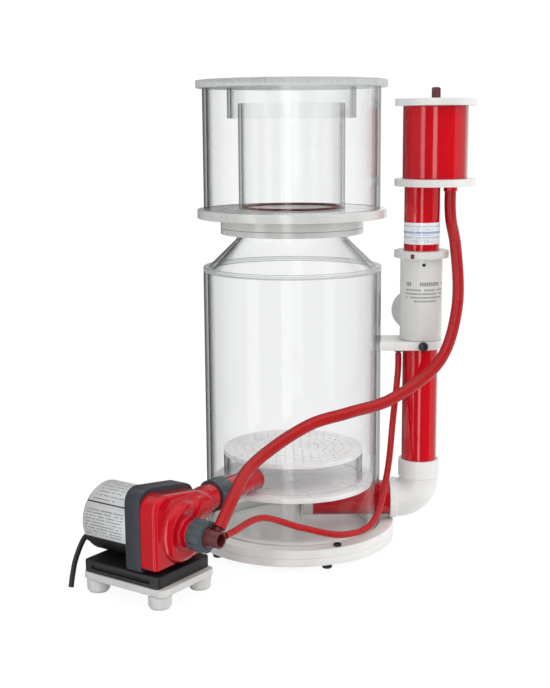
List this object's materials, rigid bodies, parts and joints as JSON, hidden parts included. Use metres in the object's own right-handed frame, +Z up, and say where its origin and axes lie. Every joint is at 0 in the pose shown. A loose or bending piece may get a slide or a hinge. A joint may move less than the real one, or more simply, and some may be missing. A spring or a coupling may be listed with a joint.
{
  "type": "protein skimmer",
  "caption": "Aquarium protein skimmer with a clear reaction tube, lift-off foam cup, outlet column with a turning level pipe and silencer, and an external pump.",
  "frame": {"origin": "on the floor, under the middle of the whole object's box, the reaction tube's axis being at x 0.02, y 0.067", "axes": "+Z up, +X towards the outlet column, -Y towards the side the pump's inlet faces"},
  "size_m": [0.5505, 0.4242, 0.655],
  "materials": {
    "white_pvc": "satin white PVC",
    "clear_acrylic": "clear polished acrylic",
    "red_acrylic": "glossy red, slightly translucent",
    "red_hose": "soft glossy red hose",
    "dark_red_plastic": "satin dark red plastic",
    "black_plastic": "fine grained black plastic",
    "slate_plastic": "fine grained dark blue-grey plastic",
    "green_grey_plastic": "satin dark green-grey plastic",
    "black_rubber": "matt rubber",
    "seal_rubber": "matt dark brown rubber",
    "silver_label": null,
    "paper_label": null,
    "steel": "ground steel",
    "copper": "lacquered winding"
  },
  "bodies": {
    "root": {"pump_foot_1": "white_pvc", "pump_foot_2": "white_pvc", "pump_foot_3": "white_pvc", "pump_foot_4": "white_pvc", "pump_plate": "white_pvc", "pump_cradle": "black_plastic", "motor_can": "black_plastic", "motor_label": "silver_label", "stator": "copper", "shaft_bearing": "steel", "pump_flange": "slate_plastic", "volute": "red_acrylic", "inlet_venturi": "dark_red_plastic", "discharge_pipe": "red_acrylic", "base_plate": "white_pvc", "tube_flange": "white_pvc", "base_screw": "black_plastic", "base_foot_1": "black_rubber", "base_foot_2": "black_rubber", "base_foot_3": "black_rubber", "base_foot_4": "black_rubber", "base_foot_5": "black_rubber", "reaction_tube": "clear_acrylic", "neck_cone": "clear_acrylic", "neck_flange": "white_pvc", "support_post": "white_pvc", "bubble_disc": "white_pvc", "bubble_chamber": "clear_acrylic", "bubble_sieve": "white_pvc", "outlet_pipe": "red_acrylic", "outlet_collar": "white_pvc", "outlet_elbow": "white_pvc", "riser_pipe": "red_acrylic", "pipe_bracket": "white_pvc", "level_body": "white_pvc", "level_lock_screw": "black_plastic", "silencer_base": "white_pvc", "silencer_tube": "red_acrylic", "silencer_nozzle": "red_acrylic", "air_hose": "red_hose", "air_line": "red_hose", "air_line_nozzle": "dark_red_plastic", "power_cable": "black_plastic"},
    "cup": {"cup_floor": "white_pvc", "foam_neck": "clear_acrylic", "cup_tube": "clear_acrylic", "neck_o_ring": "seal_rubber"},
    "lid": {"cup_lid": "clear_acrylic", "lid_skirt": "clear_acrylic"},
    "bayonet": {"bayonet_ring": "white_pvc"},
    "level": {"level_pipe": "red_acrylic", "level_label": "paper_label"},
    "silencer_cap": {"silencer_lid": "white_pvc"},
    "air_valve": {"air_screw": "dark_red_plastic"},
    "rotor": {"rotor_shaft": "steel", "rotor_magnet": "slate_plastic", "impeller": "white_pvc"},
    "inlet_union": {"inlet_nut": "green_grey_plastic"},
    "discharge_union": {"discharge_nut": "green_grey_plastic"},
    "clamp": {"clamp_screw": "black_plastic"}
  },
  "joints": [
    {"name": "cup_lift", "type": "slide", "parent": "root", "child": "cup", "axis": [0, 0, 1], "range_m": [0, 0.25]},
    {"name": "lid_lift", "type": "slide", "parent": "cup", "child": "lid", "axis": [0, 0, 1], "range_m": [0, 0.1]},
    {"name": "bayonet_turn", "type": "hinge", "parent": "cup", "child": "bayonet", "pos_m": [0.02, 0.067, 0.461], "axis": [0, 0, 1], "range_deg": [0, 30]},
    {"name": "level_turn", "type": "hinge", "parent": "root", "child": "level", "pos_m": [0.202, 0.067, 0.4], "axis": [0, 0, 1], "range_deg": [0, 180]},
    {"name": "silencer_lid_lift", "type": "slide", "parent": "root", "child": "silencer_cap", "axis": [0, 0, 1], "range_m": [0, 0.05]},
    {"name": "air_screw_turn", "type": "hinge", "parent": "silencer_cap", "child": "air_valve", "pos_m": [0.219, 0.067, 0.63], "axis": [0, 0, 1], "range_deg": [0, 270]},
    {"name": "rotor_spin", "type": "hinge", "parent": "root", "child": "rotor", "pos_m": [-0.17128, -0.13295, 0.089], "axis": [0.8192, -0.5736, 0], "continuous": true},
    {"name": "inlet_nut_turn", "type": "hinge", "parent": "root", "child": "inlet_union", "pos_m": [-0.17128, -0.13295, 0.089], "axis": [0.8192, -0.5736, 0], "range_deg": [0, 270]},
    {"name": "discharge_nut_turn", "type": "hinge", "parent": "root", "child": "discharge_union", "pos_m": [-0.13687, -0.15704, 0.112], "axis": [0.5736, 0.8192, 0], "range_deg": [0, 270]},
    {"name": "clamp_screw_turn", "type": "hinge", "parent": "root", "child": "clamp", "pos_m": [0.202, 0.032, 0.288], "axis": [0, -1, 0], "range_deg": [0, 270]}
  ]
}
